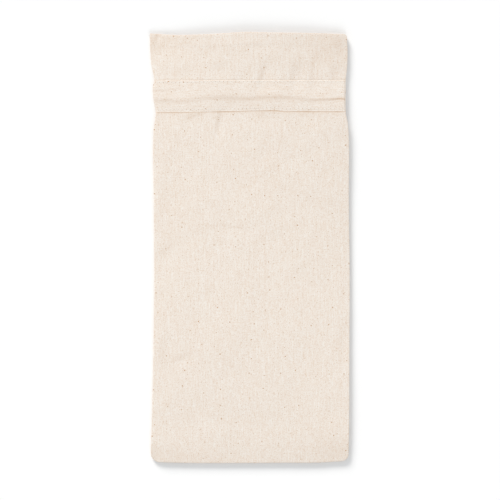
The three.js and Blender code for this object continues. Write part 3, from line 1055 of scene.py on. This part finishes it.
class BOTTLEBAG_OT_back_panel(bpy.types.Operator):
    """Lay the back panel on the floor, with its hem and seams turned inside"""

    bl_idname = "bottle_bag.back_panel"
    bl_label = "Back panel"

    def execute(self, context):
        settings = context.scene.bottle_bag
        back = back_cloth(settings, calico("Calico back", settings, BACK_CUT))
        place_piece(back, "back_panel")
        return {"FINISHED"}


class BOTTLEBAG_OT_front_panel(bpy.types.Operator):
    """Lay the front panel over the back, with its creases, hem and seams"""

    bl_idname = "bottle_bag.front_panel"
    bl_label = "Front panel"

    def execute(self, context):
        settings = context.scene.bottle_bag
        front = front_cloth(settings, calico("Calico front", settings, FRONT_CUT))
        place_piece(front, "front_panel")
        return {"FINISHED"}


class BOTTLEBAG_OT_casing_strip(bpy.types.Operator):
    """Lay the drawstring casing strip across the front, with its edges turned under"""

    bl_idname = "bottle_bag.casing_strip"
    bl_label = "Casing strip"

    def execute(self, context):
        settings = context.scene.bottle_bag
        strip = strip_cloth(settings, calico("Calico strip", settings, STRIP_CUT))
        place_piece(strip, "casing_strip")
        return {"FINISHED"}


class BOTTLEBAG_OT_stitching(bpy.types.Operator):
    """Sew the casing strip and the two hems"""

    bl_idname = "bottle_bag.stitching"
    bl_label = "Stitching"

    def execute(self, context):
        settings = context.scene.bottle_bag
        thread = grained("Sewing thread", THREAD_GRAIN, settings.thread_colour, settings.cloth_light)
        # The needle holes are discs of painted shade.
        hole = grained("Needle hole", HOLE_GRAIN, settings.hole_shade_colour, settings.seed_colour)
        strip, *strip_rows = strip_grid(settings)
        front, _, front_row = front_grid(settings)
        back, _, back_row = back_grid(settings)
        length = settings.stitch_length
        casing_sizes = (length, settings.thread_thickness, settings.hole_width)
        hem_sizes = (length, settings.hem_thread_thickness, settings.hem_hole_width)
        runs = {
            "casing": (strip, strip_rows, casing_sizes),
            "front_hem": (front, [front_row], hem_sizes),
            "back_hem": (back, [back_row], hem_sizes),
        }
        for name, (grid, rows, sizes) in runs.items():
            stitches, holes = ClothMesh(), ClothMesh()
            for row, seed in zip(rows, STITCH_SEEDS[name]):
                draw = np.random.default_rng(seed)
                add_stitches(stitches, holes, path_along(grid, row), sizes, draw)
            place_piece(stitches.make_object(name + "_stitches", thread))
            place_piece(holes.make_object(name + "_holes", hole, HOLE_DEPTH * MM))
        return {"FINISHED"}


class BOTTLEBAG_OT_stage(bpy.types.Operator):
    """Set out the floor, the lights and the camera above the bag"""

    bl_idname = "bottle_bag.stage"
    bl_label = "Studio"

    def execute(self, context):
        scene = context.scene
        stage = scene.bottle_bag_stage
        half = stage.floor_size / 2
        corners = [(-half, -half), (half, -half), (half, half), (-half, half)]
        mesh = bpy.data.meshes.new("studio_floor")
        mesh.from_pydata([(x, y, FLOOR_LEVEL * MM) for x, y in corners], [], [(0, 1, 2, 3)])
        sockets = {"Base Color": rgba(stage.floor_colour), **FLOOR_FINISH}
        mesh.materials.append(Shader("Studio floor").finish(sockets))
        floor = link_object("studio_floor", mesh)

        for kind in ("key", "fill"):
            light = bpy.data.lights.new(kind + "_light", "SUN")
            light.energy = getattr(stage, kind + "_power")
            light.angle = getattr(stage, kind + "_width")
            light.color = getattr(stage, kind + "_colour")
            rise, turn = getattr(stage, kind + "_rise"), getattr(stage, kind + "_turn")
            link_object(kind + "_light", light).rotation_euler = (math.pi / 2 - rise, 0, turn)

        world = bpy.data.worlds.new("Surround")
        world.use_nodes = True
        background = world.node_tree.nodes["Background"]
        background.inputs["Color"].default_value = rgba(stage.sky_colour)
        background.inputs["Strength"].default_value = stage.sky_strength
        scene.world = world
        scene.view_settings.view_transform = "Standard"

        camera = link_object("Camera", bpy.data.cameras.new("Camera"))
        camera.data.lens = stage.camera_lens
        shift_x, shift_y = CAMERA_SHIFT
        camera.location = (shift_x * MM, shift_y * MM, stage.camera_height)
        scene.camera = camera
        return {"FINISHED"}


PIECE_OPERATORS = (
    BOTTLEBAG_OT_back_panel,
    BOTTLEBAG_OT_front_panel,
    BOTTLEBAG_OT_casing_strip,
    BOTTLEBAG_OT_stitching,
    BOTTLEBAG_OT_stage,
)


class BOTTLEBAG_PT_sidebar(bpy.types.Panel):
    """Sizes, colours and steps of the bottle bag"""

    bl_label = "Bottle bag"
    bl_idname = "BOTTLEBAG_PT_sidebar"
    bl_space_type = "VIEW_3D"
    bl_region_type = "UI"
    bl_category = "Bottle bag"

    def draw(self, context):
        for settings in (context.scene.bottle_bag, context.scene.bottle_bag_stage):
            for name in settings.__annotations__:
                self.layout.prop(settings, name)
        for operator in PIECE_OPERATORS:
            self.layout.operator(operator.bl_idname)


CLASSES = (BagSettings, StageSettings, *PIECE_OPERATORS, BOTTLEBAG_PT_sidebar)


def register():
    for made in CLASSES:
        bpy.utils.register_class(made)
    bpy.types.Scene.bottle_bag = bpy.props.PointerProperty(type=BagSettings)
    bpy.types.Scene.bottle_bag_stage = bpy.props.PointerProperty(type=StageSettings)


def unregister():
    del bpy.types.Scene.bottle_bag_stage
    del bpy.types.Scene.bottle_bag
    for made in reversed(CLASSES):
        bpy.utils.unregister_class(made)


def main():
    register()
    bpy.ops.bottle_bag.back_panel()
    bpy.ops.bottle_bag.front_panel()
    bpy.ops.bottle_bag.casing_strip()
    bpy.ops.bottle_bag.stitching()
    bpy.ops.bottle_bag.stage()
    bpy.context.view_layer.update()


if __name__ == "__main__":
    main()
